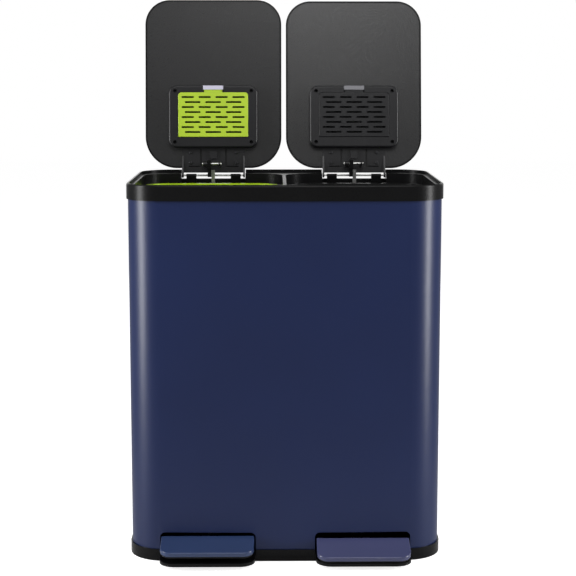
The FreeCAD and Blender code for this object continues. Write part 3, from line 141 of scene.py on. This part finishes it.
def steelFinish(name, look):
    # drawn or plated steel, its scratches along one axis
    finish, tree, shader = newFinish(name)
    scratches = grain(tree, look["scratch"], detail=5, stretch=look["along"])
    tint(tree, shader, scratches, look)
    roughen(tree, shader, scratches, look)
    relief(tree, shader, scratches, look)
    setSockets(shader, {"Metallic": 1})
    return finish


def foamFinish(name, look):
    # open pores
    finish, tree, shader = newFinish(name)
    place = addNode(tree, "ShaderNodeTexCoord")
    pores = addNode(tree, "ShaderNodeTexVoronoi", {"Scale": look["poresPerMetre"]})
    tree.links.new(place.outputs["Object"], pores.inputs["Vector"])
    tint(tree, shader, pores.outputs["Distance"], look)
    relief(tree, shader, pores.outputs["Distance"], look)
    setSockets(shader, {"Roughness": look["roughness"], "Specular IOR Level": look["gloss"]})
    return finish


def rubberFinish(name, look):
    # dull rubber with a trace of dust
    finish, tree, shader = newFinish(name)
    dust = grain(tree, look["dust"], detail=5)
    tint(tree, shader, dust, look)
    roughen(tree, shader, dust, look)
    relief(tree, shader, dust, look)
    return finish


# lengths in metres; shade and uneven say how far the colour and the roughness wander
paint = {"colour": (0.0040, 0.0098, 0.0450), "cloud": 0.25, "shade": 0.07, "peel": 0.0016,
         "depth": 0.000012, "roughness": 0.34, "uneven": (0.02, 0.03), "gloss": 0.33}
# the treads are the casing's navy paint lightened by painted reflection, the right one lighter and
# greyer by more painted reflection
leftTreadPaintedReflection = dict(paint, colour=(0.018, 0.032, 0.084), roughness=0.20, gloss=0.5)
rightTreadPaintedReflection = dict(leftTreadPaintedReflection, colour=(0.038, 0.042, 0.098))

moulding = {"cloud": 0.06, "uneven": (0.05, 0.05)}
blackMoulding = dict(moulding, colour=(0.0036, 0.0036, 0.0038), grain=0.0012, depth=0.00002,
                     shade=0.1, roughness=0.30, gloss=0.12)
charcoalMoulding = dict(moulding, colour=(0.0062, 0.0062, 0.0070), grain=0.0010, depth=0.00005,
                        shade=0.08, roughness=0.32, gloss=0.26)
charcoalBoard = dict(moulding, colour=(0.0050, 0.0050, 0.0055), grain=0.0008, depth=0.00006,
                     shade=0.06, roughness=0.30, gloss=0.50)
limeMoulding = dict(moulding, colour=(0.240, 0.340, 0.0125), grain=0.0014, depth=0.00002,
                    shade=0.04, roughness=0.34, gloss=0.5)
bucketLime = dict(limeMoulding, colour=(0.300, 0.450, 0.012), roughness=0.26)
bucketBlack = dict(blackMoulding, colour=(0.0070, 0.0070, 0.0072), roughness=0.28)
bracketMoulding = dict(charcoalMoulding, colour=(0.0080, 0.0080, 0.0088))
# the clips are charcoal plastic; their pale colours are painted highlights, brighter on the left
leftClipPaintedHighlight = dict(charcoalMoulding, colour=(0.330, 0.320, 0.390), shade=0.03)
rightClipPaintedHighlight = dict(leftClipPaintedHighlight, colour=(0.115, 0.115, 0.125))

steel = {"shade": 0.18, "uneven": (0.08, 0.1), "depth": 0.00001}
drawnSteel = dict(steel, colour=(0.46, 0.46, 0.45), scratch=0.0006, along=(1, 1, 0.03),
                  roughness=0.32)
zincPlate = dict(steel, colour=(0.33, 0.33, 0.34), scratch=0.0008, along=(1, 1, 1),
                 roughness=0.38)
blackSteel = dict(zincPlate, colour=(0.030, 0.030, 0.032))

foam = {"colour": (0.012, 0.012, 0.013), "shade": 0.6, "poresPerMetre": 620, "depth": 0.0008,
        "roughness": 0.95, "gloss": 0.2}
rubber = {"colour": (0.018, 0.018, 0.018), "shade": 0.3, "dust": 0.002, "depth": 0.0001,
          "roughness": 0.8, "uneven": (0.1, 0.1)}

finishes = {
    "painted_steel": paintFinish("bluePowderCoat", paint),
    "lid_paint": paintFinish("bluePowderCoatLid", paint),
    # both pedal finishes hold painted reflection in their colour
    "left_pedal_paint": paintFinish("leftPedalPaintAndPaintedReflection", leftTreadPaintedReflection),
    "right_pedal_paint": paintFinish("rightPedalPaintAndPaintedReflection", rightTreadPaintedReflection),
    "black_plastic": plasticFinish("blackMoulding", blackMoulding),
    "charcoal_plastic": plasticFinish("charcoalMoulding", charcoalMoulding),
    "charcoal_board": plasticFinish("charcoalBoard", charcoalBoard),
    "green_plastic": plasticFinish("limeMoulding", limeMoulding),
    "bucket_green": plasticFinish("limeBucket", bucketLime),
    "bucket_black": plasticFinish("blackBucket", bucketBlack),
    "carbon_foam": foamFinish("carbonFoam", foam),
    "zinc_steel": steelFinish("zincPlate", zincPlate),
    "black_steel": steelFinish("blackSteel", blackSteel),
    "bright_steel": steelFinish("drawnSteel", drawnSteel),
    "foot_rubber": rubberFinish("footRubber", rubber),
}
# pale clips, their paleness a painted highlight on charcoal plastic, and brackets a shade lighter
# than the deodorisers, in place of their slots' finish
bracketFinish = plasticFinish("bracketMoulding", bracketMoulding)
ownFinish = {
    "left_filter_latch": plasticFinish("leftClipPaintedHighlight", leftClipPaintedHighlight),
    "right_filter_latch": plasticFinish("rightClipPaintedHighlight", rightClipPaintedHighlight),
    "left_hinge_bracket": bracketFinish,
    "right_hinge_bracket": bracketFinish,
}
slotOf = {row["node"]: row["material_slot"] for row in frame["record"]["subparts"]}
for name, item in nodes.items():
    item.data.materials.clear()
    item.data.materials.append(ownFinish.get(name, finishes[slotOf[name]]))
print("finishes on", len(nodes), "parts")


def pieceFrom(name, mesh, body, slotName):
    item = addObject(name, mesh)
    item.data.materials.append(finishes[slotName])
    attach(item, body)
    return item


pad = {"voxel": 0.0016, "pore": 0.0045, "rough": 0.0005, "leastPit": 0.4}


def makeCarbonPad(side):
    # the solid pad, meshed evenly and pitted all over
    node = nodes[side + "_carbon_filter"]
    item = pieceFrom(side + "_carbon_pad", node.data.copy(), side + "_lid", "carbon_foam")
    remesh = item.modifiers.new("even", "REMESH")
    remesh.mode = "VOXEL"
    remesh.voxel_size = pad["voxel"]
    depsgraph = bpy.context.evaluated_depsgraph_get()
    mesh = bpy.data.meshes.new_from_object(item.evaluated_get(depsgraph))
    item.modifiers.clear()
    item.data = mesh
    middle = sum((v.co for v in mesh.vertices), Vector()) / len(mesh.vertices)
    for vertex in mesh.vertices:
        inward = (middle - vertex.co).normalized()
        pit = abs(noise.noise(vertex.co / pad["pore"]))
        vertex.co += inward * (pad["rough"] * (pad["leastPit"] + pit))
    for polygon in mesh.polygons:
        polygon.use_smooth = True
    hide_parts(side + "_carbon_filter")


for side in ("left", "right"):
    makeCarbonPad(side)
print("charcoal pads made")


# sunk sets the seam into the casing; grooveFloor and lipHeight are shares of proud
seam = {"half": 0.0045, "proud": 0.0007, "sunk": 0.0001, "slope": 0.0008, "overBase": 0.0005,
        "underRim": 0.026, "groove": 0.0012, "grooveHalf": 0.0006, "grooveFloor": 0.35,
        "lipEdge": 0.0004, "lipHeight": 0.8}


def makeSeam():
    # the folded joint of the sheet, down the middle of the back
    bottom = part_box("base")[1].z + seam["overBase"]
    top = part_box("top_rim")[1].z - seam["underRim"]
    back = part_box("casing")[1].y - seam["sunk"]
    half, proud, grooveHalf = seam["half"], seam["proud"], seam["grooveHalf"]
    grooveAt = half - seam["groove"]
    profile = [(-half, 0), (-half + seam["slope"], proud), (grooveAt - grooveHalf, proud),
               (grooveAt, proud * seam["grooveFloor"]), (grooveAt + grooveHalf, proud),
               (half - seam["lipEdge"], proud * seam["lipHeight"]), (half, 0)]
    mesh = bpy.data.meshes.new("seam")
    bm = bmesh.new()
    rings = [[bm.verts.new((x, back + y, z)) for x, y in profile] for z in (bottom, top)]
    count = len(profile)
    for number in range(count):
        following = (number + 1) % count
        bm.faces.new((rings[0][number], rings[0][following], rings[1][following], rings[1][number]))
    bm.faces.new(rings[0])
    bm.faces.new(rings[1])
    bmesh.ops.recalc_face_normals(bm, faces=bm.faces)
    bm.to_mesh(mesh)
    bm.free()
    pieceFrom("casing_lock_seam", mesh, "cabinet", "painted_steel")


makeSeam()
print("seam made")


stage = {"floorTone": 0.70, "floorGlow": 0.78, "reach": 9.0}


def seenDirectly(tree):
    # 1 where the camera looks straight at the background
    return addNode(tree, "ShaderNodeLightPath").outputs["Is Camera Ray"]


def paleFinish(name, tone, glow):
    # takes shadows as plain paint does, and glows only for the camera
    finish, tree = newFinish(name)[:2]
    tree.nodes.clear()
    surface = addNode(tree, "ShaderNodeBsdfDiffuse", {"Color": (tone, tone, tone, 1)})
    shine = addNode(tree, "ShaderNodeEmission")
    strength = addNode(tree, "ShaderNodeMath", {1: glow})
    strength.operation = "MULTIPLY"
    both = addNode(tree, "ShaderNodeAddShader")
    out = addNode(tree, "ShaderNodeOutputMaterial")
    tree.links.new(seenDirectly(tree), strength.inputs[0])
    tree.links.new(strength.outputs[0], shine.inputs["Strength"])
    tree.links.new(surface.outputs[0], both.inputs[0])
    tree.links.new(shine.outputs[0], both.inputs[1])
    tree.links.new(both.outputs[0], out.inputs["Surface"])
    return finish


def makeFloor():
    reach = stage["reach"]
    corners = [(-reach, -reach, 0), (reach, -reach, 0), (reach, reach, 0), (-reach, reach, 0)]
    mesh = bpy.data.meshes.new("floor")
    mesh.from_pydata(corners, [], [(0, 1, 2, 3)])
    mesh.materials.append(paleFinish("paleFloor", stage["floorTone"], stage["floorGlow"]))
    item = addObject("floor", mesh)


makeFloor()
print("floor laid")


# how bright the room is for the object, and for the camera
room = {"ambient": 0.30, "seen": 1.0}
world = bpy.data.worlds.new("studio")
bpy.context.scene.world = world
world.use_nodes = True
sky = world.node_tree.nodes["Background"]
strength = addNode(world.node_tree, "ShaderNodeMapRange",
                   {"To Min": room["ambient"], "To Max": room["seen"]})
world.node_tree.links.new(seenDirectly(world.node_tree), strength.inputs["Value"])
world.node_tree.links.new(strength.outputs["Result"], sky.inputs["Strength"])
setSockets(sky, {"Color": (1, 1, 1, 1)})
print("room lit")


# metres, watts and degrees; the two strips draw the bright lines down the rounded front corners
lamps = {
    "leftStrip": {"at": (-1.38, -0.50, 0.80), "aim": (-0.24, -0.12, 0.60), "size": (0.45, 1.5),
                  "power": 9.5, "spread": 80},
    "rightStrip": {"at": (1.37, -0.50, 0.80), "aim": (0.24, -0.12, 0.60), "size": (0.32, 1.5),
                   "power": 8, "spread": 80},
    "topBox": {"at": (0.0, -2.0, 3.0), "aim": (0, 0, 0.5), "size": (2.4, 1.6), "power": 30,
               "spread": 180},
    "lidBox": {"at": (0.15, -3.0, 2.55), "aim": (0, 0.2, 0.75), "size": (0.9, 1.0), "power": 19,
               "spread": 180},
    "rearBox": {"at": (0.0, 2.8, 1.1), "aim": (0, 0, 0.7), "size": (4.0, 1.6), "power": 20,
                "spread": 180},
}
for name, lamp in lamps.items():
    light = bpy.data.lights.new(name, "AREA")
    light.shape = "RECTANGLE"
    light.size, light.size_y = lamp["size"]
    light.energy = lamp["power"]
    light.spread = math.radians(lamp["spread"])
    item = addObject(name, light)
    item.location = lamp["at"]
    item.visible_camera = False
    towards = Vector(lamp["aim"]) - Vector(lamp["at"])
    item.rotation_euler = towards.to_track_quat("-Z", "Y").to_euler()
print("lamps set")


# fitted to the photograph's edges, with a small part of its upward shift
camera = {"at": (-0.01867, -2.37557, 0.78984), "pitch": 0.13285, "turn": -0.01032,
          "focalPixels": 1443.98, "frameWidth": 576, "sensor": 36, "shift": -0.06}
lens = bpy.data.cameras.new("camera")
lens.sensor_width = camera["sensor"]
lens.lens = camera["focalPixels"] * camera["sensor"] / camera["frameWidth"]
lens.shift_y = camera["shift"]
viewer = addObject("camera", lens)
viewer.location = camera["at"]
viewer.rotation_euler = (math.pi / 2 - camera["pitch"], 0, camera["turn"])
bpy.context.scene.camera = viewer
bpy.context.scene.view_settings.view_transform = "Standard"
print("camera placed")
